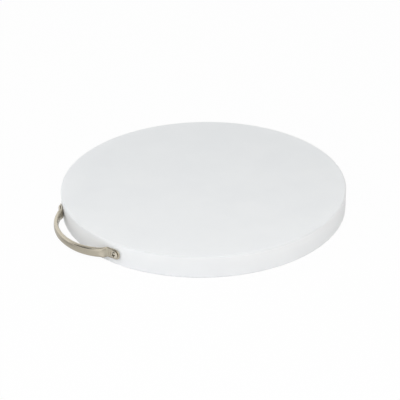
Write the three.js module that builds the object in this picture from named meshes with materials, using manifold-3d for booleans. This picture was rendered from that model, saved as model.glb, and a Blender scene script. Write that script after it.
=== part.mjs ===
// Round white polyethylene cutting board with a bent stainless steel carrying handle on its edge.
// The handle is one bar of oval section whose two ends are pressed flat into lugs.
// Each lug lies on the board's side wall and is held by one self-tapping pan-head screw.
// Millimetres, +Z up. The origin is the centre of the board's underside, and the handle points along -Y.

import * as THREE from "three";
import { mergeVertices } from "three/addons/utils/BufferGeometryUtils.js";
import Module from "manifold-3d";

// Board
const BOARD_DIAMETER = 380;
const BOARD_THICKNESS = 30;
const BOARD_EDGE_RADIUS = 1.5;

// Handle bar: an oval bar bent to a flat crown, two rounder shoulders and two straight limbs.
// The radii are those of its inner face, and the angles are from the line through both screws.
const GRIP_HEIGHT = 11.5;
const GRIP_DEPTH = 6;
const GRIP_ROUNDNESS = 2.6; // superellipse power of the oval section
const GRIP_DROP = 1.1; // how far the middle of the grip hangs below the screws
const FINGER_ROOM = 19; // clear depth between the board and the middle of the grip
const CROWN_RADIUS = 85;
const CROWN_ANGLE = THREE.MathUtils.degToRad(17);
const SHOULDER_RADIUS = 65;
const LIMB_ANGLE = THREE.MathUtils.degToRad(49);
const LIMB_HEIGHT = 13; // the bar is taller where it was pressed
const FAN_SHARE = 0.6; // share of each half over which the bar narrows from the limb to the grip

// Lugs: flush with the inner face of the bar, so the step up to the bar is all on the outside
const LUG_WIDTH = 14.4;
const LUG_THICKNESS = 2;
const LUG_SQUARENESS = 5; // superellipse power of the flattened section
const LUG_TIP = 7.5; // from the screw's axis to the rounded end
const TIP_SQUARENESS = 2.4; // superellipse power of the rounded end
const LUG_BEND_RADIUS = 5; // of the inner face, where a limb turns into its lug
const SWELL_LENGTH = 4; // from the bend to where the edges have the bar's full section
const PRESS_LENGTH = 11; // from the bend to the top of the slope that the press leaves outside
const PRESS_CURVE = 2.25; // power of the slope, which starts gently on the bar and steepens to the bend
const PRESS_CROWN = 10; // radius across the slope, which the rounded press leaves hollow

// Screws, ST5.5 x 32 with a low pan head
const SCREW_SPACING = 139; // straight across, between the points where the axes leave the board
const SCREW_HEIGHT = 15.3; // of the axes above the underside
const SCREW_DIAMETER = 5.5;
const SCREW_LENGTH = 32;
const SCREW_POINT = 5;
const HEAD_DIAMETER = 11;
const HEAD_HEIGHT = 2.8;
const HEAD_RIM = 0.9; // straight edge under the head's dome
const RECESS_SPAN = 6.4; // across the wings of the cross recess
const RECESS_DEPTH = 2.4;
const RECESS_WING = 1.5;
const RECESS_TAPER = 0.5; // size of the recess at its bottom, as a share of that at its mouth

// Assembly
const SEAT_GAP = 0.2; // left between faces that bear on each other, and round the screws
const DRILL_POINT = 1.2; // depth of the cone at the end of a pilot hole

// Facets
const BOARD_SEGMENTS = 144;
const SCREW_SEGMENTS = 24;
const EDGE_STEPS = 4;
const SECTION_POINTS = 28;
const TIP_STEPS = 8;
const BEND_STEPS = 4;
const PRESS_STEPS = 12;
const GRIP_STEPS = 20;
const DOME_STEPS = 6;
const PATH_DIVISIONS = 2000;
const WELD_DISTANCE = 1e-4; // below which two corners are one

const boardRadius = BOARD_DIAMETER / 2;
const screwAngle = Math.asin(SCREW_SPACING / 2 / boardRadius);
const holeRadius = SCREW_DIAMETER / 2 + SEAT_GAP;

const polyethylene = new THREE.MeshStandardMaterial({ color: 0xe9ebec, roughness: 0.45, metalness: 0 });
const satinSteel = new THREE.MeshStandardMaterial({ color: 0xb9b3a2, roughness: 0.32, metalness: 1 });
const screwSteel = new THREE.MeshStandardMaterial({ color: 0xc4beae, roughness: 0.25, metalness: 1 });

const wasm = await Module();
wasm.setup();

// A closed geometry as a solid that can be joined and cut.
function solidOf(geometry) {
  const bare = geometry.clone();
  bare.deleteAttribute("normal");
  bare.deleteAttribute("uv");
  const merged = mergeVertices(bare, WELD_DISTANCE);
  return new wasm.Manifold(
    new wasm.Mesh({
      numProp: 3,
      vertProperties: merged.attributes.position.array,
      triVerts: new Uint32Array(merged.index.array),
    }),
  );
}

// The geometry of a solid, with flat normals.
function geometryOf(solid) {
  const mesh = solid.getMesh();
  const geometry = new THREE.BufferGeometry();
  geometry.setAttribute("position", new THREE.BufferAttribute(mesh.vertProperties, 3));
  geometry.setIndex(new THREE.BufferAttribute(mesh.triVerts, 1));
  const flat = geometry.toNonIndexed();
  flat.computeVertexNormals();
  return flat;
}

// A profile of (radius, height) points turned round the Z axis.
function turned(profile, segments) {
  return new THREE.LatheGeometry(profile, segments).rotateX(Math.PI / 2);
}

// Points of a quarter circle from one angle to another, for a profile.
function arcPoints(x, y, radius, from, to, steps) {
  const points = [];
  for (let i = 0; i <= steps; i++) {
    const angle = from + ((to - from) * i) / steps;
    points.push(new THREE.Vector2(x + radius * Math.cos(angle), y + radius * Math.sin(angle)));
  }
  return points;
}

// A frame on the board's side wall, at the point where a screw's axis leaves it. Its +Z points outwards.
function seatFrame(side) {
  const seat = new THREE.Group();
  const turn = side * screwAngle;
  seat.rotation.set(Math.PI / 2, 0, turn, "ZYX");
  seat.position.set(boardRadius * Math.sin(turn), -boardRadius * Math.cos(turn), SCREW_HEIGHT);
  seat.updateMatrix();
  return seat;
}

const seats = [-1, 1].map(seatFrame);

// Board: a turned disc with rounded edges, and a blind pilot hole behind each lug
function boardGeometry() {
  const flat = boardRadius - BOARD_EDGE_RADIUS;
  const top = BOARD_THICKNESS - BOARD_EDGE_RADIUS;
  const quarter = Math.PI / 2;
  const profile = [
    new THREE.Vector2(0, 0),
    ...arcPoints(flat, BOARD_EDGE_RADIUS, BOARD_EDGE_RADIUS, -quarter, 0, EDGE_STEPS),
    ...arcPoints(flat, top, BOARD_EDGE_RADIUS, 0, quarter, EDGE_STEPS),
    new THREE.Vector2(0, BOARD_THICKNESS),
  ];
  const disc = solidOf(turned(profile, BOARD_SEGMENTS));
  return geometryOf(seats.reduce((solid, seat) => solid.subtract(drillSolid(seat)), disc));
}

// The bit that drills a pilot hole: it starts outside the wall and ends in a cone below the screw's point.
function drillSolid(seat) {
  const depth = SCREW_LENGTH;
  const profile = [
    new THREE.Vector2(0, -depth - DRILL_POINT),
    new THREE.Vector2(holeRadius, -depth),
    new THREE.Vector2(holeRadius, LUG_THICKNESS),
    new THREE.Vector2(0, LUG_THICKNESS),
  ];
  return solidOf(turned(profile, SCREW_SEGMENTS).applyMatrix4(seat.matrix));
}

// The point at an angle from the +y direction on a circle seen from above.
function onCircle(centre, radius, angle) {
  return new THREE.Vector2(centre.x + radius * Math.sin(angle), centre.y + radius * Math.cos(angle));
}

// The line of the handle's inner face seen from above, from the left lug's tip to the right lug's tip.
// x runs along the line through the screws and y away from the board's centre.
function innerFacePath() {
  const lugDirection = new THREE.Vector2(Math.cos(screwAngle), -Math.sin(screwAngle));
  const limbDirection = new THREE.Vector2(Math.cos(LIMB_ANGLE), -Math.sin(LIMB_ANGLE));
  const crownCentre = new THREE.Vector2(0, boardRadius + FINGER_ROOM - CROWN_RADIUS);
  const crownEnd = onCircle(crownCentre, CROWN_RADIUS, CROWN_ANGLE);
  const shoulderCentre = onCircle(crownEnd, -SHOULDER_RADIUS, CROWN_ANGLE);
  const limbTop = onCircle(shoulderCentre, SHOULDER_RADIUS, LIMB_ANGLE);

  // The lug's back face is square to the screw. The limb's line meets it at the corner of the bend.
  const lugDistance = boardRadius + SEAT_GAP;
  const lugNormal = new THREE.Vector2(Math.sin(screwAngle), Math.cos(screwAngle));
  const toCorner = (lugDistance - limbTop.dot(lugNormal)) / limbDirection.dot(lugNormal);
  const corner = limbTop.clone().addScaledVector(limbDirection, toCorner);
  const bendAngle = LIMB_ANGLE - screwAngle;
  const setback = LUG_BEND_RADIUS * Math.tan(bendAngle / 2);
  const limbEnd = corner.clone().addScaledVector(limbDirection, -setback);
  const lugStart = corner.clone().addScaledVector(lugDirection, setback);
  const bendCentre = lugStart.clone().addScaledVector(lugNormal, LUG_BEND_RADIUS);
  const screwPoint = lugNormal.clone().multiplyScalar(lugDistance);
  const tip = screwPoint.clone().addScaledVector(lugDirection, LUG_TIP);

  const up = Math.PI / 2;
  const path = new THREE.Path();
  path.moveTo(-tip.x, tip.y);
  path.lineTo(-lugStart.x, lugStart.y);
  path.absarc(-bendCentre.x, bendCentre.y, LUG_BEND_RADIUS, screwAngle - up, LIMB_ANGLE - up, false);
  path.lineTo(-limbTop.x, limbTop.y);
  path.absarc(-shoulderCentre.x, shoulderCentre.y, SHOULDER_RADIUS, up + LIMB_ANGLE, up + CROWN_ANGLE, true);
  path.absarc(crownCentre.x, crownCentre.y, CROWN_RADIUS, up + CROWN_ANGLE, up - CROWN_ANGLE, true);
  path.absarc(shoulderCentre.x, shoulderCentre.y, SHOULDER_RADIUS, up - CROWN_ANGLE, up - LIMB_ANGLE, true);
  path.lineTo(limbEnd.x, limbEnd.y);
  path.absarc(bendCentre.x, bendCentre.y, LUG_BEND_RADIUS, -up - LIMB_ANGLE, -up - screwAngle, false);
  path.lineTo(tip.x, tip.y);
  const lugLength = tip.distanceTo(lugStart);
  return { path, lugLength, pressedLength: lugLength + LUG_BEND_RADIUS * bendAngle, lugLevel: lugStart.y };
}

// The bar's section at a distance from the nearer tip: a superellipse that stands on the inner face,
// pressed in from the outside. The more it is pressed, the taller it spreads.
function handleSection(distance, pressedLength, halfLength) {
  const { lerp, clamp, smoothstep } = THREE.MathUtils;
  const pastBend = Math.max(0, distance - pressedLength);
  const swell = smoothstep(pastBend, 0, SWELL_LENGTH);
  const narrowing = smoothstep(pastBend, 0, PRESS_LENGTH);
  const fan = clamp((pastBend - PRESS_LENGTH) / (FAN_SHARE * halfLength), 0, 1);
  const pressed = (1 - clamp(pastBend / PRESS_LENGTH, 0, 1)) ** PRESS_CURVE;
  const fromTipCentre = Math.max(0, LUG_TIP - distance) / LUG_TIP;
  const tipShare = (1 - fromTipCentre ** TIP_SQUARENESS) ** (1 / TIP_SQUARENESS);
  return {
    depth: lerp(LUG_THICKNESS, GRIP_DEPTH, swell),
    flat: lerp(GRIP_DEPTH, LUG_THICKNESS, pressed),
    height: tipShare * lerp(LUG_WIDTH, lerp(LIMB_HEIGHT, GRIP_HEIGHT, fan), narrowing),
    power: lerp(LUG_SQUARENESS, GRIP_ROUNDNESS, swell),
  };
}

// Distances from a tip at which the handle has a section, from the tip to the middle.
function sectionDistances(halfLength, lugLength, pressedLength) {
  const pressEnd = pressedLength + PRESS_LENGTH;
  const distances = [];
  for (let i = 1; i <= TIP_STEPS; i++) {
    distances.push(LUG_TIP * (1 - Math.cos((Math.PI / 2) * (i / TIP_STEPS))));
  }
  for (let i = 0; i <= BEND_STEPS; i++) {
    distances.push(THREE.MathUtils.lerp(lugLength, pressedLength, i / BEND_STEPS));
  }
  for (let i = 1; i <= PRESS_STEPS; i++) {
    distances.push(THREE.MathUtils.lerp(pressedLength, pressEnd, i / PRESS_STEPS));
  }
  for (let i = 1; i <= GRIP_STEPS; i++) {
    distances.push(THREE.MathUtils.lerp(pressEnd, halfLength, i / GRIP_STEPS));
  }
  return distances;
}

// A ring of points round one section of the handle.
function sectionRing(point, tangent, hang, section) {
  const outward = new THREE.Vector2(-tangent.y, tangent.x);
  const ring = [];
  for (let i = 0; i < SECTION_POINTS; i++) {
    const angle = (2 * Math.PI * i) / SECTION_POINTS;
    const across = Math.sign(Math.cos(angle)) * Math.abs(Math.cos(angle)) ** (2 / section.power);
    const upward = Math.sign(Math.sin(angle)) * Math.abs(Math.sin(angle)) ** (2 / section.power);
    const height = (section.height / 2) * upward;
    const hollow = section.flat + height ** 2 / (2 * PRESS_CROWN);
    const standing = Math.min((section.depth / 2) * (1 + across), hollow);
    const plan = point.clone().addScaledVector(outward, standing);
    ring.push(new THREE.Vector3(plan.x, -plan.y, SCREW_HEIGHT - hang + height));
  }
  return ring;
}

// A closed skin over a row of rings with equal numbers of points.
function loft(rings) {
  const count = rings[0].length;
  const positions = rings.flat().flatMap((point) => point.toArray());
  const faces = [];
  for (let r = 0; r + 1 < rings.length; r++) {
    for (let i = 0; i < count; i++) {
      const a = r * count + i;
      const b = r * count + ((i + 1) % count);
      faces.push(a, a + count, b, b, a + count, b + count);
    }
  }
  const last = (rings.length - 1) * count;
  for (let i = 1; i + 1 < count; i++) {
    faces.push(0, i, i + 1, last, last + i + 1, last + i);
  }
  const geometry = new THREE.BufferGeometry();
  geometry.setAttribute("position", new THREE.Float32BufferAttribute(positions, 3));
  geometry.setIndex(faces);
  return geometry;
}

// Handle: the bar swept from lug to lug, with a clearance hole through each lug
function handleGeometry() {
  const { path, lugLength, pressedLength, lugLevel } = innerFacePath();
  path.arcLengthDivisions = PATH_DIVISIONS;
  const length = path.getLength();
  const half = sectionDistances(length / 2, lugLength, pressedLength);
  const positions = [...half, ...half.slice(0, -1).reverse().map((distance) => length - distance)];
  const rise = boardRadius + FINGER_ROOM - lugLevel;
  const rings = positions.map((position) => {
    const section = handleSection(Math.min(position, length - position), pressedLength, length / 2);
    const point = path.getPointAt(position / length);
    const hang = GRIP_DROP * Math.max(0, (point.y - lugLevel) / rise);
    return sectionRing(point, path.getTangentAt(position / length), hang, section);
  });
  return geometryOf(seats.reduce((solid, seat) => solid.subtract(lugHoleSolid(seat)), solidOf(loft(rings))));
}

// The bit that drills a lug: long enough to pass right through it.
function lugHoleSolid(seat) {
  const hole = new THREE.CylinderGeometry(holeRadius, holeRadius, 2 * GRIP_DEPTH, SCREW_SEGMENTS);
  return solidOf(hole.rotateX(Math.PI / 2).applyMatrix4(seat.matrix));
}

// Screw: a turned pan head and pointed shank with a cross recess. Its +Z points out of the board,
// and its origin is where the head bears on the lug.
function screwGeometry() {
  const headRadius = HEAD_DIAMETER / 2;
  const shankRadius = SCREW_DIAMETER / 2;
  const dome = [];
  for (let i = 0; i <= DOME_STEPS; i++) {
    const angle = (Math.PI / 2) * (i / DOME_STEPS);
    const height = HEAD_RIM + (HEAD_HEIGHT - HEAD_RIM) * Math.sin(angle);
    dome.push(new THREE.Vector2(headRadius * Math.cos(angle), height));
  }
  const profile = [
    new THREE.Vector2(0, -SCREW_LENGTH),
    new THREE.Vector2(shankRadius, SCREW_POINT - SCREW_LENGTH),
    new THREE.Vector2(shankRadius, 0),
    new THREE.Vector2(headRadius, 0),
    ...dome,
  ];
  return geometryOf(solidOf(turned(profile, SCREW_SEGMENTS)).subtract(recessSolid()));
}

// The cross recess: two wings that narrow towards the bottom. Each is a square frustum, made thin.
function recessSolid() {
  const mouth = (RECESS_SPAN / 2) * Math.SQRT2;
  const wings = [0, Math.PI / 2].map((turn) => {
    const wing = new THREE.CylinderGeometry(mouth, mouth * RECESS_TAPER, RECESS_DEPTH, 4);
    wing.rotateY(Math.PI / 4).rotateX(Math.PI / 2);
    wing.scale(1, RECESS_WING / RECESS_SPAN, 1).rotateZ(turn);
    return solidOf(wing.translate(0, 0, HEAD_HEIGHT + SEAT_GAP - RECESS_DEPTH / 2));
  });
  return wings[0].add(wings[1]);
}

function namedMesh(name, geometry, material) {
  const mesh = new THREE.Mesh(geometry, material);
  mesh.name = name;
  return mesh;
}

const cuttingBoard = new THREE.Group();
cuttingBoard.add(namedMesh("board", boardGeometry(), polyethylene));
cuttingBoard.add(namedMesh("handle", handleGeometry(), satinSteel));
["handle_screw_left", "handle_screw_right"].forEach((name, index) => {
  const screw = namedMesh(name, screwGeometry(), screwSteel.clone());
  screw.position.z = SEAT_GAP + LUG_THICKNESS + SEAT_GAP;
  seats[index].add(screw);
  cuttingBoard.add(seats[index]);
});

export default cuttingBoard;
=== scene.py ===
from math import asin, cos, pi, radians, sin, tan

import bmesh
import bpy
from mathutils import Matrix, Vector


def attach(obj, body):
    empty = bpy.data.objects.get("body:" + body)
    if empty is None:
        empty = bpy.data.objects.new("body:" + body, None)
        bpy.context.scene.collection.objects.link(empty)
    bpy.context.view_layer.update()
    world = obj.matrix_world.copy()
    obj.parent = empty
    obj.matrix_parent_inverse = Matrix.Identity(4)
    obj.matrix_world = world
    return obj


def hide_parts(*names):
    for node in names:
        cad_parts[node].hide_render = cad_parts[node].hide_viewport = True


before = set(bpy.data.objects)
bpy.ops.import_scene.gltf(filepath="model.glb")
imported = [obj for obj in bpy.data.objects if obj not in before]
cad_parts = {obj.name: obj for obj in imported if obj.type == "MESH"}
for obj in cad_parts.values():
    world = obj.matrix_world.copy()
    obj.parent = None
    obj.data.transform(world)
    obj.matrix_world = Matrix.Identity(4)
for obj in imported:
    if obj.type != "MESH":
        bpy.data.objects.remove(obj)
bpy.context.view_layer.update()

# A round white polyethylene cutting board with a bent satin steel carrying handle on its edge.
# Metres, +Z up. The origin is the centre of the board's underside, and the handle points along -Y.
MM = 0.001
NEAR = 0.01 * MM  # corners nearer than this stand at one place
WELD = 0.001 * MM  # corners nearer than this are merged when a piece is closed, and levels are one row
FLAT = 0.999  # a face looks along an axis where its normal has more than this of it
TURN = -1  # with no window, a turn given to the rotate tool goes the other way

# Board
BOARD_RADIUS = 190 * MM
BOARD_THICKNESS = 30 * MM
BOARD_SIDES = 256
EDGE_RADIUS = 1.5 * MM
EDGE_SEGMENTS = 6
EDGE_PROFILE = 0.5  # bevel profile of a round edge
EDGE_BORDER = 0.7 * MM  # narrow band of flat beside each rounded edge, which keeps the flats flat
FACE_RINGS = 3
BOARD_CREASE = radians(40)  # sharper edges than this stay crisp

# Handle bar, measured on its inner face
GRIP_HEIGHT = 11.5 * MM
GRIP_DEPTH = 6 * MM
GRIP_DROP = 1.1 * MM  # how far the grip hangs below the lugs
SECTION_FULLNESS = 0.587  # bevel profile of the oval section, between a round and a square
SECTION_CORNER_SEGMENTS = 14
SECTION_CORNER_SHARE = 0.999  # the rounded corners stop just short of each other
FINGER_ROOM = 19 * MM  # between the board's wall and the middle of the grip
CROWN_RADIUS = 85 * MM
CROWN_ANGLE = radians(17)
SHOULDER_RADIUS = 65 * MM
LIMB_ANGLE = radians(49)
LIMB_HEIGHT = 13 * MM
FAN_SHARE = 0.6  # part of the half bar over which the limb's height falls to the grip's
BAR_STEP = 1.9 * MM
HANDLE_CREASE = radians(60)

# Flattened ends of the bar
LUG_WIDTH = 14.4 * MM
LUG_THICKNESS = 2 * MM
LUG_TIP = 7.5 * MM  # from the screw to the end of the lug
TIP_SQUARENESS = 2.4  # superellipse power of the lug's rounded end
TIP_RINGS = 9
TIP_FLAT = 0.4  # what is left of a step between the last ring and the very tip
LUG_BEND_RADIUS = 5 * MM
LUG_BACK_SHARE = 0.35  # how much of the oval's back is left where the lug bears on the board
LUG_STEP = 1.0 * MM
SWELL_LENGTH = 9 * MM  # past the bend, where the bar's back grows to the full oval
PRESS_LENGTH = 11 * MM  # past the bend, where the pressed slope rises to the full bar
PRESS_CURVE = 1.7  # the pressed slope starts gently on the bar and steepens towards the lug
PRESS_CROWN = 10 * MM  # radius across the slope, which the rounded press leaves hollow
PRESS_STEP = 0.5 * MM
PRESS_SLACK = 0.02 * MM  # corners this little past the widest line still count as its back
RIM_SHARE = 0.6  # how much of a pressed rim's thickness the oval's back half keeps
RIM_ROUND = 0.8 * MM  # how far the pressed face falls off at its rim
RIM_START = 0.8  # share of the half height where that begins

# Screws
SCREW_SPACING = 139 * MM
SCREW_HEIGHT = 15.3 * MM
SCREW_LENGTH = 32 * MM
SCREW_POINT = 5 * MM
SCREW_TIP_SHARE = 0.04  # share of the shank that is left at its point
SCREW_CREASE = radians(35)
LEFT_SCREW_TURN = radians(12)
RIGHT_SCREW_TURN = radians(15)
SHANK_RADIUS = 2.05 * MM
THREAD_RADIUS = 2.75 * MM
THREAD_PITCH = 1.8 * MM
THREAD_TURNS = 13
THREAD_FULLNESS = 0.87  # size of the ridge's section against its height
THREAD_START = 1.1  # where the thread starts, against the length of the point
HEAD_RADIUS = 5.5 * MM
HEAD_HEIGHT = 2.8 * MM
HEAD_RIM = 0.9 * MM  # straight side of the head, under its dome
HEAD_SIDES = 64
HEAD_BEVEL = 0.12 * MM
HEAD_BEVEL_SEGMENTS = 2
DOME_STEPS = 9
DOME_FLAT = 0.5  # what is left of a step between the last ring and the top of the head
RECESS_SPAN = 6.4 * MM
RECESS_WING = 1.7 * MM
RECESS_CORE = 4.4 * MM  # across the flaring middle of the recess
RECESS_DEPTH = 2.4 * MM
RECESS_TAPER = 0.6
RECESS_OVER = 0.2 * MM  # how far the tool of the recess stands over the head
HOLE_RADIUS = 2.95 * MM
HOLE_SIDES = 48
DRILL_POINT = 1.2 * MM
DRILL_TIP_SHARE = 0.05  # share of a bit that is left at its point
DRILL_START = 4 * LUG_THICKNESS  # how far out from the wall a bit begins
SEAT_GAP = 0.2 * MM  # between wall and lug, and between lug and head

# Polyethylene, with colours as linear red, green and blue
NOISE_LEVELS = (0.3, 0.7)  # levels of a noise between which its tone changes
PLASTIC_TONES = ((0.89, 0.905, 0.922), (0.91, 0.925, 0.942))
PLASTIC_ROUGHNESS = (0.55, 0.72)
PLASTIC_GLOSS = 0.25
PLASTIC_IOR = 1.5
CLOUD_STRETCH = (22, 22, 22)  # features of a noise to the metre in each direction
CLOUD_DETAIL = 3
GRAIN_STRETCH = (900, 900, 900)
GRAIN_DETAIL = 4
GRAIN_STRENGTH = 0.25
GRAIN_DEPTH = 0.05 * MM
# Painted shade on the board's rounded edges, which takes off their highlight
EDGE_SHADE_TONE = (0.93, 0.93, 0.93)
EDGE_SHADE_REACH = (2.2 * MM, 0.9 * MM)  # from the board's sharp corner: where the painted shade begins and is full
WAX_LEVELS = (4 * MM, 22 * MM)  # heights between which the light under the surface grows
WAX_SHARE = 0.5
WAX_DEPTH = 10 * MM
WAX_SPREAD = (1, 1, 1)  # the same for red, green and blue

# Steel
SATIN_COLOUR = (0.645, 0.592, 0.484)
SATIN_ROUGHNESS = (0.13, 0.28)
SATIN_STRETCH = (60, 1800, 1800)  # long marks along the bar
BRIGHT_COLOUR = (0.705, 0.655, 0.555)
BRIGHT_ROUGHNESS = (0.1, 0.24)
BRIGHT_STRETCH = (700, 700, 700)
MARK_DETAIL = 4
MARK_SHADE = 0.95  # tone of the darkest marks against the steel's own colour
MARK_STRENGTH = 0.12
MARK_DEPTH = 0.01 * MM
SMUDGE_STRETCH = (90, 90, 90)
SMUDGE_DETAIL = 3
# Painted shade in the screws' recess and round the foot of the head
RECESS_SHADE_COLOUR = (0.27, 0.24, 0.19)
RECESS_SHADE_MARGIN = 0.1 * MM  # how far round the recess it may lie
RECESS_SHADE_DEPTHS = (0.4 * MM, 1.4 * MM)  # under the top of the head: where it begins and is full
FOOT_SHADE_LEVEL = HEAD_RIM / 3  # height over the lug where it is full again

# Camera, with angles in degrees, and its lens and sensor in millimetres
VIEW_AZIMUTH = 57.1
VIEW_ELEVATION = 28.61
VIEW_DISTANCE = 1.9
VIEW_LENS = 127.5
VIEW_SENSOR = 36
VIEW_ROLL = -0.82
AIM_RIGHT = -4.64 * MM  # the middle of the picture, from the middle of the board
AIM_UP = -8.87 * MM

# Lamps that face the board: name, azimuth, elevation, distance, size, power and tint
LAMPS = (
    ("front", 57, 45, 1.3, 1.1, 6.55, (1, 1, 1)),
    ("left", -25, 25, 1.7, 1.3, 9, (1, 1, 1)),
    ("right", 120, 30, 1.7, 1.3, 4.95, (1, 0.96, 0.9)),
    ("back", 237, 45, 1.7, 1.4, 4.7, (0.9, 0.97, 1)),
)

# Floor
FLOOR_RADIUS = 12
FLOOR_SIDES = 96
FLOOR_DROP = 0.2 * MM  # keeps the floor and the underside out of one plane
PAPER_TONE = (0.9, 0.9, 0.9)
# How much of the bright floor each kind of ray sees, with the paper as the rest
FLOOR_SEEN = {"Is Camera Ray": 0.96, "Is Transmission Ray": 0.96, "Is Glossy Ray": 0.8}
SHADED_PATCH = (-0.015, -0.262, 0)  # middle of the grey part of the floor, a painted shadow that the handle reflects
PATCH_SPAN = 0.15
# Tones of that part outwards, by share of the span
PATCH_TONES = ((0.1, 0.34), (0.27, 0.6), (0.45, 0.62), (0.63, 0.72), (0.74, 0.92))
SHADE_WIDTH = 22 * MM  # strip of floor beside the board with painted shade that only the steel shows
SHADE_TONE = 0.4

# Room
ROOM_LEVEL = 0.375  # how strongly the room lights things, against how bright it looks
ROOM_SEEN = {"Is Camera Ray": 1, "Is Glossy Ray": 1, "Is Transmission Ray": 1}
CEILING_TONES = ((0.6, 1), (0.72, 0.5))  # by the sine of the elevation
# Parts of the room that the steel reflects: direction, cosines where each begins and is full, tone
ROOM_PATCHES = (
    ((65, 40), 0.85, 0.95, 0.95),  # pale lamp in front
    ((-5, 11), 0.88, 0.96, 0.08),  # dark doorway on the left
)

# Sockets of the Mix node for colours, and the steps on vectors that give a number
MIX_FIRST = 6
MIX_SECOND = 7
MIX_RESULT = 2
NUMBER_STEPS = ("LENGTH", "DISTANCE", "DOT_PRODUCT")

INNER_FACE = -BOARD_RADIUS - FINGER_ROOM  # where the inner face of the grip stands on the Y axis
screw_angle = asin(SCREW_SPACING / 2 / BOARD_RADIUS)


def deselect_all():
    bpy.ops.object.select_all(action="DESELECT")


def choose(piece):
    """Makes a piece the only selected one."""
    deselect_all()
    piece.select_set(True)
    bpy.context.view_layer.objects.active = piece


def open_mesh(piece, mode="VERT"):
    """Opens a piece for editing, with nothing in it selected."""
    choose(piece)
    bpy.ops.object.mode_set(mode="EDIT")
    bpy.ops.mesh.select_mode(type=mode)
    bpy.ops.mesh.select_all(action="DESELECT")


def close_mesh():
    bpy.ops.object.mode_set(mode="OBJECT")


def pick(piece, kind, test):
    """Selects only the corners, edges or faces of the open mesh that pass a test."""
    bpy.ops.mesh.select_all(action="DESELECT")
    mesh = bmesh.from_edit_mesh(piece.data)
    for item in getattr(mesh, kind):
        if test(item):
            item.select_set(True)
    mesh.select_flush_mode()
    bmesh.update_edit_mesh(piece.data)


def extrude(move):
    """Draws the selected faces of the open mesh out by a move."""
    bpy.ops.mesh.extrude_region_move(TRANSFORM_OT_translate={"value": move})


def scale_about(centre, scale):
    """Scales what is selected in the open mesh about a centre."""
    bpy.ops.transform.resize(value=scale, center_override=centre)


def rotate_about(centre, axis, angle):
    """Turns what is selected in the open mesh about an axis through a centre."""
    bpy.ops.transform.rotate(value=TURN * angle, orient_axis=axis, center_override=centre)


def settle(piece, name):
    """Puts a piece's place into its mesh and names it."""
    choose(piece)
    bpy.ops.object.transform_apply(location=True, rotation=True, scale=True)
    piece.name = name
    piece.data.name = name
    return piece


def apply_modifier(piece, kind, **settings):
    """Adds a modifier with these settings and applies it."""
    modifier = piece.modifiers.new(kind.lower(), kind)
    for setting, value in settings.items():
        setattr(modifier, setting, value)
    choose(piece)
    bpy.ops.object.modifier_apply(modifier=modifier.name)


def combine(piece, tool, operation):
    """Cuts a tool's shape out of a piece or joins it on, and removes the tool."""
    apply_modifier(piece, "BOOLEAN", operation=operation, solver="EXACT", object=tool)
    bpy.data.objects.remove(tool)


def close_normals(piece):
    """Merges doubled corners and turns every face outwards."""
    open_mesh(piece)
    bpy.ops.mesh.select_all(action="SELECT")
    bpy.ops.mesh.remove_doubles(threshold=WELD)
    bpy.ops.mesh.normals_make_consistent(inside=False)
    close_mesh()


def keep_places(piece, name):
    """Keeps where each corner is now, for marks that follow the piece after it is bent or moved."""
    piece.data.attributes.new(name, "FLOAT_VECTOR", "POINT")
    for value, corner in zip(piece.data.attributes[name].data, piece.data.vertices):
        value.vector = corner.co


def smooth(piece, crease):
    choose(piece)
    bpy.ops.object.shade_smooth_by_angle(angle=crease)


def seat_matrix(side, lift):
    """The place of a screw: +Z out of the board along its axis, lifted off the side wall."""
    turn = side * screw_angle
    out = Vector((sin(turn), -cos(turn), 0))
    along = Vector((cos(turn), sin(turn), 0))
    place = Matrix((along, Vector((0, 0, 1)), out)).transposed().to_4x4()
    place.translation = out * (BOARD_RADIUS + lift) + Vector((0, 0, SCREW_HEIGHT))
    return place


def drill(side, depth, point):
    """A bit for a hole on a screw's axis, from outside the lug down to a depth in the board."""
    bpy.ops.mesh.primitive_cylinder_add(
        vertices=HOLE_SIDES,
        radius=HOLE_RADIUS,
        depth=DRILL_START + depth,
        location=(0, 0, (DRILL_START - depth) / 2),
    )
    bit = settle(bpy.context.object, "drill")
    if point:
        open_mesh(bit, "FACE")
        pick(bit, "faces", lambda face: face.normal.z < -FLAT)
        extrude((0, 0, -point))
        scale_about((0, 0, -depth - point), (DRILL_TIP_SHARE, DRILL_TIP_SHARE, 1))
        close_mesh()
    bit.matrix_world = seat_matrix(side, 0)
    return settle(bit, "drill")


# Board
def make_board():
    """A plain disc with rounded edges and two pilot holes in its wall."""
    deselect_all()
    bpy.ops.mesh.primitive_cylinder_add(
        vertices=BOARD_SIDES,
        radius=BOARD_RADIUS,
        depth=BOARD_THICKNESS,
        location=(0, 0, BOARD_THICKNESS / 2),
    )
    board = settle(bpy.context.object, "cutting_board")
    open_mesh(board, "EDGE")
    pick(board, "edges", lambda edge: abs(edge.verts[0].co.z - edge.verts[1].co.z) < NEAR)
    bpy.ops.mesh.bevel(offset=EDGE_RADIUS, segments=EDGE_SEGMENTS, profile=EDGE_PROFILE, affect="EDGES")
    bpy.ops.mesh.select_mode(type="FACE")
    for side in (-1, 1):
        pick(board, "faces", lambda face: side * face.normal.z > FLAT)
        bpy.ops.mesh.inset(thickness=EDGE_BORDER, depth=0)
        for _ in range(FACE_RINGS):
            bpy.ops.mesh.inset(thickness=BOARD_RADIUS / (FACE_RINGS + 1), depth=0)
    for level in (EDGE_RADIUS + EDGE_BORDER, BOARD_THICKNESS - EDGE_RADIUS - EDGE_BORDER):
        bpy.ops.mesh.select_all(action="SELECT")
        bpy.ops.mesh.bisect(plane_co=(0, 0, level), plane_no=(0, 0, 1))
    close_mesh()
    for side in (-1, 1):
        combine(board, drill(side, SCREW_LENGTH, DRILL_POINT), "DIFFERENCE")
    close_normals(board)
    smooth(board, BOARD_CREASE)
    return board


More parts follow.
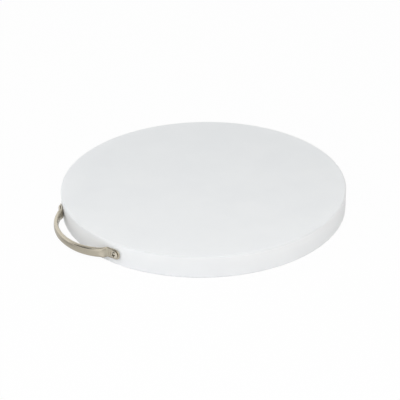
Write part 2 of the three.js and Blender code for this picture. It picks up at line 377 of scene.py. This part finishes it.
# Handle: the line of its inner face from the middle of the grip to the tip of a lug
def handle_line():
    """The lengths of the crown, shoulder, limb, bend and lug along the inner face."""
    across = Vector((sin(screw_angle), cos(screw_angle)))
    limb = Vector((cos(LIMB_ANGLE), -sin(LIMB_ANGLE)))
    crown_centre = Vector((0, BOARD_RADIUS + FINGER_ROOM - CROWN_RADIUS))
    crown_end = Vector((sin(CROWN_ANGLE), cos(CROWN_ANGLE)))
    shoulder_centre = crown_centre + crown_end * (CROWN_RADIUS - SHOULDER_RADIUS)
    limb_top = shoulder_centre + Vector((sin(LIMB_ANGLE), cos(LIMB_ANGLE))) * SHOULDER_RADIUS
    lug_distance = BOARD_RADIUS + SEAT_GAP
    to_corner = (lug_distance - limb_top.dot(across)) / limb.dot(across)
    corner = limb_top + limb * to_corner
    bend_angle = LIMB_ANGLE - screw_angle
    setback = LUG_BEND_RADIUS * tan(bend_angle / 2)
    to_screw = (across * lug_distance - corner).length
    return {
        "crown": CROWN_RADIUS * CROWN_ANGLE,
        "shoulder": SHOULDER_RADIUS * (LIMB_ANGLE - CROWN_ANGLE),
        "limb": to_corner - setback,
        "bend": LUG_BEND_RADIUS * bend_angle,
        "lug": to_screw - setback + LUG_TIP,
    }


line = handle_line()
half_length = sum(line.values())


def heading(along):
    """How far the bar has turned towards the board at a distance from the middle of the grip."""
    turned = min(along, line["crown"]) / CROWN_RADIUS
    turned += min(max(along - line["crown"], 0), line["shoulder"]) / SHOULDER_RADIUS
    bend_start = half_length - line["lug"] - line["bend"]
    return turned - min(max(along - bend_start, 0), line["bend"]) / LUG_BEND_RADIUS


def clamp(value):
    """A value held between 0 and 1."""
    return min(max(value, 0), 1)


def mix(start, end, share):
    """The value at a share of the way from start to end."""
    return start + (end - start) * share


def eased(share):
    """A share that starts and ends gently."""
    share = clamp(share)
    return share * share * (3 - 2 * share)


def bar_section(along):
    """Height, outer flat, hollow and share of the oval back of the bar at a distance from the middle."""
    from_tip = half_length - along
    past_lug = max(0, from_tip - line["lug"] - line["bend"])
    swell = eased(past_lug / SWELL_LENGTH)
    fan = clamp((past_lug - PRESS_LENGTH) / (FAN_SHARE * half_length))
    tip = (1 - (max(0, LUG_TIP - from_tip) / LUG_TIP) ** TIP_SQUARENESS) ** (1 / TIP_SQUARENESS)
    narrowing = eased(past_lug / PRESS_LENGTH)
    height = tip * mix(LUG_WIDTH, mix(LIMB_HEIGHT, GRIP_HEIGHT, fan), narrowing)
    flat = mix(GRIP_DEPTH, LUG_THICKNESS, (1 - clamp(past_lug / PRESS_LENGTH)) ** PRESS_CURVE)
    return height, flat, swell / (2 * PRESS_CROWN), mix(LUG_BACK_SHARE, 1, swell)


def spread(start, end, step):
    """Evenly spaced places after start up to end, about a step apart."""
    count = max(1, round((end - start) / step))
    return [mix(start, end, (i + 1) / count) for i in range(count)]


def bar_places():
    """Distances from the middle of the grip at which the bar has a ring of corners, after the first."""
    lug_start = half_length - line["lug"]
    press_end = lug_start - line["bend"]
    press_start = press_end - PRESS_LENGTH
    tip_start = half_length - LUG_TIP
    places = spread(0, press_start, BAR_STEP) + spread(press_start, press_end, PRESS_STEP)
    places += spread(press_end, lug_start, PRESS_STEP) + spread(lug_start, tip_start, LUG_STEP)
    tip_turns = [pi / 2 * (i + 1) / (TIP_RINGS + TIP_FLAT) for i in range(TIP_RINGS)]
    return places + [tip_start + LUG_TIP * sin(turn) for turn in tip_turns]


def straight_bar():
    """Half of the bar before bending, from the middle of the grip, with its end pressed into a lug."""
    places = bar_places()
    start = places[0]
    deselect_all()
    bpy.ops.mesh.primitive_cube_add(
        size=1,
        location=(start / 2, INNER_FACE - GRIP_DEPTH / 2, SCREW_HEIGHT),
        scale=(start, GRIP_DEPTH, GRIP_DEPTH),
    )
    bar = settle(bpy.context.object, "handle_bar")
    open_mesh(bar, "EDGE")
    pick(bar, "edges", lambda edge: abs(edge.verts[0].co.x - edge.verts[1].co.x) > start / 2)
    bpy.ops.mesh.bevel(
        offset=GRIP_DEPTH / 2 * SECTION_CORNER_SHARE,
        segments=SECTION_CORNER_SEGMENTS,
        profile=SECTION_FULLNESS,
        affect="EDGES",
    )
    bpy.ops.mesh.select_all(action="SELECT")
    bpy.ops.mesh.remove_doubles(threshold=NEAR)
    scale_about((0, INNER_FACE, SCREW_HEIGHT), (1, 1, GRIP_HEIGHT / GRIP_DEPTH))
    bpy.ops.mesh.select_mode(type="FACE")
    pick(bar, "faces", lambda face: face.normal.x < -FLAT)
    bpy.ops.mesh.delete(type="ONLY_FACE")
    pick(bar, "faces", lambda face: face.normal.x > FLAT)
    for before, after in zip(places, places[1:]):
        extrude((after - before, 0, 0))
    bpy.ops.mesh.select_mode(type="VERT")
    places = [0] + places
    for place in places:
        press_ring(bar, place)
    close_mesh()
    return bar, places


def press_ring(bar, place):
    """Spreads one ring of the open bar and presses its outside in, row by row, to the hollow slope."""
    height, flat, hollow, back = bar_section(place)
    inner_middle = (place, INNER_FACE, SCREW_HEIGHT)
    widest = GRIP_DEPTH / 2

    def in_ring(corner):
        return abs(corner.co.x - place) < NEAR

    def standing(corner):
        return INNER_FACE - corner.co.y

    def pressed(corner):
        off_middle = abs(corner.co.z - SCREW_HEIGHT)
        rounding = RIM_ROUND * max(0, (2 * off_middle / height - RIM_START) / (1 - RIM_START)) ** 2
        return flat + hollow * off_middle ** 2 - rounding

    pick(bar, "verts", in_ring)
    scale_about(inner_middle, (1, 1, height / GRIP_HEIGHT))
    if flat == GRIP_DEPTH:
        return
    mesh = bmesh.from_edit_mesh(bar.data)
    ring = [corner for corner in mesh.verts if in_ring(corner)]
    outer = [corner for corner in ring if standing(corner) > widest + PRESS_SLACK]
    rows = {
        round(pressed(corner) / WELD): pressed(corner)
        for corner in outer
        if standing(corner) > pressed(corner)
    }
    outside = {corner.index for corner in outer}
    rim_level = flat + hollow * (height / 2) ** 2
    pick(bar, "verts", lambda corner: in_ring(corner) and corner.index not in outside)
    scale_about(inner_middle, (1, min(back, RIM_SHARE * rim_level / widest), 1))
    for row in rows.values():
        pick(
            bar,
            "verts",
            lambda corner: corner.index in outside
            and standing(corner) > row
            and abs(pressed(corner) - row) < WELD,
        )
        scale_about((place, INNER_FACE - row, SCREW_HEIGHT), (1, 0, 1))


def bend_bar(bar, places):
    """Bends the straight half bar ring by ring towards the board, and lets the grip hang a little."""
    corners = bar.data.vertices
    rings = [[corner.index for corner in corners if abs(corner.co.x - place) < NEAR] for place in places]
    courses = [heading((before + after) / 2) for before, after in zip(places, places[1:])]
    open_mesh(bar)

    def pick_rings(first, last):
        chosen = set().union(*rings[first:last])
        pick(bar, "verts", lambda corner: corner.index in chosen)

    points = [Vector((0, INNER_FACE, SCREW_HEIGHT))]
    faced = 0
    for i, course in enumerate(courses, 1):
        pick_rings(i, len(rings))
        rotate_about(points[-1], "Z", course - faced)
        points.append(points[-1] + Vector((cos(course), sin(course), 0)) * (places[i] - places[i - 1]))
        faced = course
    for i, course in enumerate(courses, 1):
        pick_rings(i, i + 1)
        rotate_about(points[i], "Z", heading(places[i]) - course)
    lug_level = points[-1].y
    for i, point in enumerate(points):
        sag = GRIP_DROP * clamp((lug_level - point.y) / (lug_level - INNER_FACE))
        pick_rings(i, i + 1)
        bpy.ops.transform.translate(value=(0, 0, -sag))
    close_mesh()


def make_handle():
    """The whole bar: its half bent and mirrored, smoothed once and drilled for the screws."""
    bar, places = straight_bar()
    keep_places(bar, "bar_place")
    bend_bar(bar, places)
    apply_modifier(bar, "MIRROR", use_axis=(True, False, False), merge_threshold=NEAR)
    close_normals(bar)
    apply_modifier(bar, "SUBSURF", levels=1, render_levels=1)
    for side in (-1, 1):
        combine(bar, drill(side, LUG_THICKNESS * 2, 0), "DIFFERENCE")
    smooth(bar, HANDLE_CREASE)
    bar.name = "carrying_handle"
    return bar


# Screws
def make_screw():
    """One self-tapping screw standing on its point, with its head's bearing face at the origin."""
    deselect_all()
    bpy.ops.mesh.primitive_cylinder_add(
        vertices=HEAD_SIDES, radius=HEAD_RADIUS, depth=HEAD_RIM, location=(0, 0, HEAD_RIM / 2)
    )
    screw = settle(bpy.context.object, "screw")
    open_mesh(screw, "FACE")
    pick(screw, "faces", lambda face: face.normal.z > FLAT)
    radius = HEAD_RADIUS
    level = HEAD_RIM
    for i in range(1, DOME_STEPS + 1):
        angle = pi / 2 * i / (DOME_STEPS + DOME_FLAT)
        next_radius = HEAD_RADIUS * cos(angle)
        next_level = HEAD_RIM + (HEAD_HEIGHT - HEAD_RIM) * sin(angle)
        extrude((0, 0, next_level - level))
        scale_about((0, 0, next_level), (next_radius / radius, next_radius / radius, 1))
        radius = next_radius
        level = next_level
    pick(screw, "faces", lambda face: face.normal.z < -FLAT)
    bpy.ops.mesh.inset(thickness=HEAD_RADIUS - SHANK_RADIUS, depth=0)
    extrude((0, 0, SCREW_POINT - SCREW_LENGTH))
    extrude((0, 0, -SCREW_POINT))
    scale_about((0, 0, -SCREW_LENGTH), (SCREW_TIP_SHARE, SCREW_TIP_SHARE, 1))
    close_mesh()
    for tool in (recess_wing(0), recess_wing(pi / 2), recess_core()):
        combine(screw, tool, "DIFFERENCE")
    apply_modifier(
        screw,
        "BEVEL",
        width=HEAD_BEVEL,
        segments=HEAD_BEVEL_SEGMENTS,
        limit_method="ANGLE",
        angle_limit=SCREW_CREASE,
    )
    combine(screw, make_thread(), "UNION")
    close_normals(screw)
    smooth(screw, SCREW_CREASE)
    keep_places(screw, "screw_place")
    return screw


def recess_wing(turn):
    """A tool for one of the two crossed slots of the recess, narrower at its bottom."""
    bpy.ops.mesh.primitive_cube_add(
        size=1,
        location=(0, 0, HEAD_HEIGHT + RECESS_OVER - RECESS_DEPTH / 2),
        scale=(RECESS_SPAN, RECESS_WING, RECESS_DEPTH),
    )
    wing = settle(bpy.context.object, "recess_wing")
    open_mesh(wing, "FACE")
    pick(wing, "faces", lambda face: face.normal.z < -FLAT)
    scale_about((0, 0, 0), (RECESS_TAPER, RECESS_TAPER, 1))
    close_mesh()
    wing.rotation_euler.z = turn
    return settle(wing, "recess_wing")


def recess_core():
    """A tool for the flaring middle of the recess, with a face across each corner between two wings."""
    bpy.ops.mesh.primitive_cone_add(
        vertices=4,
        radius1=RECESS_CORE / 2 * RECESS_TAPER,
        radius2=RECESS_CORE / 2,
        depth=RECESS_DEPTH,
        location=(0, 0, HEAD_HEIGHT + RECESS_OVER - RECESS_DEPTH / 2),
    )
    return settle(bpy.context.object, "recess_core")


def make_thread():
    """The ridge of the thread, swept round the shank with the Screw modifier and closed at its ends."""
    size = (THREAD_RADIUS - SHANK_RADIUS) * THREAD_FULLNESS
    middle = (THREAD_RADIUS - size, 0, SCREW_POINT * THREAD_START - SCREW_LENGTH)
    deselect_all()
    bpy.ops.mesh.primitive_circle_add(vertices=3, radius=size, location=middle, rotation=(pi / 2, 0, 0))
    thread = settle(bpy.context.object, "thread")
    open_mesh(thread)
    bpy.ops.mesh.select_all(action="SELECT")
    rotate_about(middle, "Y", -pi / 2)
    close_mesh()
    apply_modifier(
        thread,
        "SCREW",
        angle=2 * pi * THREAD_TURNS,
        screw_offset=THREAD_PITCH * THREAD_TURNS,
        steps=HEAD_SIDES * THREAD_TURNS,
        render_steps=HEAD_SIDES * THREAD_TURNS,
        use_merge_vertices=True,
    )
    open_mesh(thread, "EDGE")
    pick(thread, "edges", lambda edge: edge.is_boundary)
    bpy.ops.mesh.edge_face_add()
    close_mesh()
    close_normals(thread)
    apply_modifier(thread, "TRIANGULATE")
    # the ridge's corners stand over the middles of the shank's sides, so that the two join cleanly
    thread.rotation_euler.z = pi / HEAD_SIDES
    return settle(thread, "thread")


def seat_screw(screw, side, name, turn):
    """A copy of the screw in its place on the board, turned about its own axis."""
    copy = screw.copy()
    copy.data = screw.data.copy()
    bpy.context.collection.objects.link(copy)
    lift = SEAT_GAP + LUG_THICKNESS + SEAT_GAP
    copy.matrix_world = seat_matrix(side, lift) @ Matrix.Rotation(turn, 4, "Z")
    return settle(copy, name)


# Steps of a finish
def feed(tree, entry, value):
    """Links a socket to an entry, or sets the entry to a number, vector or colour."""
    if isinstance(value, bpy.types.NodeSocket):
        tree.links.new(value, entry)
    elif entry.type == "RGBA":
        entry.default_value = (*value, 1)
    else:
        entry.default_value = value


def grey(tone):
    return (tone, tone, tone)


def arithmetic(tree, operation, first, second):
    """One step of arithmetic on two numbers."""
    step = tree.nodes.new("ShaderNodeMath")
    step.operation = operation
    feed(tree, step.inputs[0], first)
    feed(tree, step.inputs[1], second)
    return step.outputs["Value"]


def vector_step(tree, operation, first, second=None):
    """One step on a vector, or on two."""
    step = tree.nodes.new("ShaderNodeVectorMath")
    step.operation = operation
    feed(tree, step.inputs[0], first)
    if second is not None:
        feed(tree, step.inputs[1], second)
    result = "Value" if operation in NUMBER_STEPS else "Vector"
    return step.outputs[result]


def height_of(tree, place):
    """How high a place is."""
    split = tree.nodes.new("ShaderNodeSeparateXYZ")
    tree.links.new(place, split.inputs["Vector"])
    return split.outputs["Z"]


def distance_from_axis(tree, place):
    """How far a place is from the Z axis."""
    return vector_step(tree, "LENGTH", vector_step(tree, "MULTIPLY", place, (1, 1, 0)))


def ranged(tree, value, start, end, low=0, high=1, soft=False):
    """Runs from low to high while a value runs from start to end, and stays there beyond."""
    step = tree.nodes.new("ShaderNodeMapRange")
    step.interpolation_type = "SMOOTHSTEP" if soft else "LINEAR"
    feed(tree, step.inputs["Value"], value)
    feed(tree, step.inputs["From Min"], start)
    feed(tree, step.inputs["From Max"], end)
    feed(tree, step.inputs["To Min"], low)
    feed(tree, step.inputs["To Max"], high)
    return step.outputs["Result"]


def toned(tree, value, stops):
    """A colour for a value, from stops that each have a level and a colour."""
    step = tree.nodes.new("ShaderNodeValToRGB")
    elements = step.color_ramp.elements
    for level, _ in stops[1:-1]:
        elements.new(level)
    for element, (level, colour) in zip(elements, stops):
        element.position = level
        element.color = (*colour, 1)
    tree.links.new(value, step.inputs["Fac"])
    return step.outputs["Color"]


def blended(tree, share, first, second, blend="MIX"):
    """The first colour, changed by a share of the second."""
    step = tree.nodes.new("ShaderNodeMix")
    step.data_type = "RGBA"
    step.blend_type = blend
    tree.links.new(share, step.inputs["Factor"])
    feed(tree, step.inputs[MIX_FIRST], first)
    feed(tree, step.inputs[MIX_SECOND], second)
    return step.outputs[MIX_RESULT]


def noise(tree, place, stretch, detail):
    """Noise on a place, with its features 1 / stretch metres long in each direction."""
    texture = tree.nodes.new("ShaderNodeTexNoise")
    feed(tree, texture.inputs["Vector"], vector_step(tree, "MULTIPLY", place, stretch))
    feed(tree, texture.inputs["Scale"], 1)
    feed(tree, texture.inputs["Detail"], detail)
    return texture.outputs["Fac"]


def add_relief(tree, shader, height, strength, depth):
    """Fine relief on a surface."""
    bump = tree.nodes.new("ShaderNodeBump")
    feed(tree, bump.inputs["Strength"], strength)
    feed(tree, bump.inputs["Distance"], depth)
    feed(tree, bump.inputs["Height"], height)
    feed(tree, shader.inputs["Normal"], bump.outputs["Normal"])


def kept_place(tree, name):
    """The place that each corner of a piece had before it was bent or moved."""
    place = tree.nodes.new("ShaderNodeAttribute")
    place.attribute_name = name
    return place.outputs["Vector"]


# Finishes
def new_finish(name):
    finish = bpy.data.materials.new(name)
    finish.use_nodes = True
    return finish, finish.node_tree, finish.node_tree.nodes["Principled BSDF"]


def edge_share(tree, place):
    """1 on the board's two rounded edges and 0 on its flats and wall."""
    height = height_of(tree, place)
    from_wall = arithmetic(tree, "SUBTRACT", BOARD_RADIUS, distance_from_axis(tree, place))
    under_top = arithmetic(tree, "SUBTRACT", BOARD_THICKNESS, height)
    from_face = arithmetic(tree, "MINIMUM", under_top, height)
    return ranged(tree, arithmetic(tree, "ADD", from_wall, from_face), *EDGE_SHADE_REACH, soft=True)


def polyethylene_finish():
    """Waxy white plastic with faint clouds, a fine grain and painted shade on its rounded edges."""
    finish, tree, shader = new_finish("polyethylene")
    place = tree.nodes.new("ShaderNodeTexCoord").outputs["Object"]
    clouds = noise(tree, place, CLOUD_STRETCH, CLOUD_DETAIL)
    white = toned(tree, clouds, tuple(zip(NOISE_LEVELS, PLASTIC_TONES)))
    # painted shade: the rounded edges are darkened so that they show no highlight
    shaded_edges = blended(tree, edge_share(tree, place), white, EDGE_SHADE_TONE, "MULTIPLY")
    feed(tree, shader.inputs["Base Color"], shaded_edges)
    grain = noise(tree, place, GRAIN_STRETCH, GRAIN_DETAIL)
    feed(tree, shader.inputs["Roughness"], ranged(tree, grain, 0, 1, *PLASTIC_ROUGHNESS))
    add_relief(tree, shader, grain, GRAIN_STRENGTH, GRAIN_DEPTH)
    # light passes under the surface and softens the top edge; less so low down, by the floor
    waxy = ranged(tree, height_of(tree, place), *WAX_LEVELS, high=WAX_SHARE, soft=True)
    feed(tree, shader.inputs["Subsurface Weight"], waxy)
    feed(tree, shader.inputs["Subsurface Radius"], WAX_SPREAD)
    feed(tree, shader.inputs["Subsurface Scale"], WAX_DEPTH)
    feed(tree, shader.inputs["Specular IOR Level"], PLASTIC_GLOSS)
    feed(tree, shader.inputs["IOR"], PLASTIC_IOR)
    return finish


def steel_finish(name, colour, roughness, place_name, stretch):
    """Steel with fine marks that follow the piece's own shape, and faint smudges."""
    finish, tree, shader = new_finish(name)
    place = kept_place(tree, place_name)
    marks = noise(tree, place, stretch, MARK_DETAIL)
    smudges = noise(tree, place, SMUDGE_STRETCH, SMUDGE_DETAIL)
    wear = arithmetic(tree, "DIVIDE", arithmetic(tree, "ADD", marks, smudges), 2)
    marked = tuple(channel * MARK_SHADE for channel in colour)
    tone = toned(tree, wear, tuple(zip(NOISE_LEVELS, (marked, colour))))
    feed(tree, shader.inputs["Base Color"], tone)
    feed(tree, shader.inputs["Roughness"], ranged(tree, wear, 0, 1, *roughness))
    feed(tree, shader.inputs["Metallic"], 1)
    add_relief(tree, shader, marks, MARK_STRENGTH, MARK_DEPTH)
    return finish


def add_painted_shade(finish):
    """Painted shade on the walls of the screws' recess and round the foot of the head."""
    tree = finish.node_tree
    base = tree.nodes["Principled BSDF"].inputs["Base Color"]
    place = kept_place(tree, "screw_place")
    height = height_of(tree, place)
    reach = RECESS_SPAN / 2 + RECESS_SHADE_MARGIN
    inside = arithmetic(tree, "LESS_THAN", distance_from_axis(tree, place), reach)
    deep = ranged(tree, height, *[HEAD_HEIGHT - depth for depth in RECESS_SHADE_DEPTHS])
    in_recess = arithmetic(tree, "MULTIPLY", inside, deep)
    at_foot = ranged(tree, height, HEAD_RIM, FOOT_SHADE_LEVEL)
    # painted shade: deep in the recess and where the head meets the lug
    share = arithmetic(tree, "MAXIMUM", in_recess, at_foot)
    feed(tree, base, blended(tree, share, base.links[0].from_socket, RECESS_SHADE_COLOUR))


# Studio
def direction(azimuth, elevation):
    """A direction, with azimuth 0 along -Y and 90 along +X, in degrees."""
    round_z = radians(azimuth)
    up = radians(elevation)
    return Vector((sin(round_z) * cos(up), -cos(round_z) * cos(up), sin(up)))


def add_camera():
    lens = bpy.data.cameras.new("camera")
    lens.lens = VIEW_LENS
    lens.sensor_width = VIEW_SENSOR
    camera = bpy.data.objects.new("camera", lens)
    bpy.context.scene.collection.objects.link(camera)
    back = direction(VIEW_AZIMUTH, VIEW_ELEVATION)
    level = direction(VIEW_AZIMUTH + 90, 0)
    upright = back.cross(level)
    roll = radians(VIEW_ROLL)
    right = level * cos(roll) + upright * sin(roll)
    up = upright * cos(roll) - level * sin(roll)
    middle = Vector((0, 0, BOARD_THICKNESS / 2))
    eye = middle + back * VIEW_DISTANCE
    aim = middle + right * AIM_RIGHT + up * AIM_UP
    back = (eye - aim).normalized()
    right = up.cross(back).normalized()
    place = Matrix((right, back.cross(right), back)).transposed().to_4x4()
    place.translation = eye
    camera.matrix_world = place
    bpy.context.scene.camera = camera


def add_lamp(name, azimuth, elevation, distance, size, power, tint):
    """A square lamp that faces the origin and isn't mirrored in the steel."""
    lamp = bpy.data.lights.new(name, "AREA")
    lamp.size = size
    lamp.energy = power
    lamp.color = tint
    holder = bpy.data.objects.new(name, lamp)
    bpy.context.scene.collection.objects.link(holder)
    back = direction(azimuth, elevation)
    holder.location = back * distance
    holder.rotation_mode = "QUATERNION"
    holder.rotation_quaternion = back.to_track_quat("Z", "Y")
    holder.visible_glossy = False


def seen_share(tree, shares):
    """The share of the kind of ray that looks, and 0 for rays that only light things."""
    path = tree.nodes.new("ShaderNodeLightPath")
    largest = 0
    for ray, share in shares.items():
        seen = arithmetic(tree, "MULTIPLY", path.outputs[ray], share)
        largest = arithmetic(tree, "MAXIMUM", largest, seen)
    return largest


def add_floor():
    """White paper that keeps the board's shadow, with painted shadows that only the steel shows."""
    bpy.ops.mesh.primitive_circle_add(
        vertices=FLOOR_SIDES, radius=FLOOR_RADIUS, fill_type="NGON", location=(0, 0, -FLOOR_DROP)
    )
    floor = bpy.context.object
    floor.name = "floor"
    finish = bpy.data.materials.new("floor")
    finish.use_nodes = True
    tree = finish.node_tree
    tree.nodes.clear()
    place = tree.nodes.new("ShaderNodeTexCoord").outputs["Object"]
    from_patch = vector_step(tree, "DISTANCE", place, SHADED_PATCH)
    span_share = arithmetic(tree, "DIVIDE", from_patch, PATCH_SPAN)
    patch = toned(tree, span_share, [(share, grey(tone)) for share, tone in PATCH_TONES])
    from_middle = vector_step(tree, "LENGTH", place)
    beside = ranged(tree, from_middle, BOARD_RADIUS, BOARD_RADIUS + SHADE_WIDTH, low=SHADE_TONE)
    # painted shadow on the floor, seen only in the steel
    painted_shadow = vector_step(tree, "MULTIPLY", patch, beside)
    in_steel = tree.nodes.new("ShaderNodeLightPath").outputs["Is Glossy Ray"]
    white = tree.nodes.new("ShaderNodeEmission")
    feed(tree, white.inputs["Color"], blended(tree, in_steel, grey(1), painted_shadow))
    paper = tree.nodes.new("ShaderNodeBsdfDiffuse")
    feed(tree, paper.inputs["Color"], PAPER_TONE)
    blend = tree.nodes.new("ShaderNodeMixShader")
    feed(tree, blend.inputs["Fac"], seen_share(tree, FLOOR_SEEN))
    feed(tree, blend.inputs[1], paper.outputs["BSDF"])
    feed(tree, blend.inputs[2], white.outputs["Emission"])
    out = tree.nodes.new("ShaderNodeOutputMaterial")
    feed(tree, out.inputs["Surface"], blend.outputs["Shader"])
    floor.data.materials.append(finish)


def add_room():
    """A white room with a greyer ceiling, a pale lamp and one dark doorway, which the steel reflects."""
    room = bpy.data.worlds.new("room")
    room.use_nodes = True
    tree = room.node_tree
    tree.nodes.clear()
    way = tree.nodes.new("ShaderNodeTexCoord").outputs["Generated"]
    ceiling = [(height, grey(tone)) for height, tone in CEILING_TONES]
    seen_room = toned(tree, height_of(tree, way), ceiling)
    for middle, edge, core, tone in ROOM_PATCHES:
        facing = vector_step(tree, "DOT_PRODUCT", way, direction(*middle))
        share = ranged(tree, facing, edge, core, soft=True)
        seen_room = blended(tree, share, seen_room, grey(tone))
    light = tree.nodes.new("ShaderNodeBackground")
    lit_or_seen = blended(tree, seen_share(tree, ROOM_SEEN), grey(ROOM_LEVEL), seen_room)
    feed(tree, light.inputs["Color"], lit_or_seen)
    out = tree.nodes.new("ShaderNodeOutputWorld")
    feed(tree, out.inputs["Surface"], light.outputs["Background"])
    bpy.context.scene.world = room


board = make_board()
handle = make_handle()
screw = make_screw()
screw_left = seat_screw(screw, -1, "pan_screw_left", LEFT_SCREW_TURN)
screw_right = seat_screw(screw, 1, "pan_screw_right", RIGHT_SCREW_TURN)
bpy.data.objects.remove(screw)

plastic = polyethylene_finish()
satin = steel_finish("satin_steel", SATIN_COLOUR, SATIN_ROUGHNESS, "bar_place", SATIN_STRETCH)
bright = steel_finish("screw_steel", BRIGHT_COLOUR, BRIGHT_ROUGHNESS, "screw_place", BRIGHT_STRETCH)
add_painted_shade(bright)
for piece, finish, node, slot in (
    (board, plastic, "board", "polyethylene"),
    (handle, satin, "handle", "satin_steel"),
    (screw_left, bright, "handle_screw_left", "screw_steel"),
    (screw_right, bright, "handle_screw_right", "screw_steel"),
):
    piece.data.materials.clear()
    piece.data.materials.append(finish)
    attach(piece, "root")
    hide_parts(node)

add_camera()
add_floor()
add_room()
for lamp in LAMPS:
    add_lamp(*lamp)
bpy.context.scene.view_settings.view_transform = "Standard"
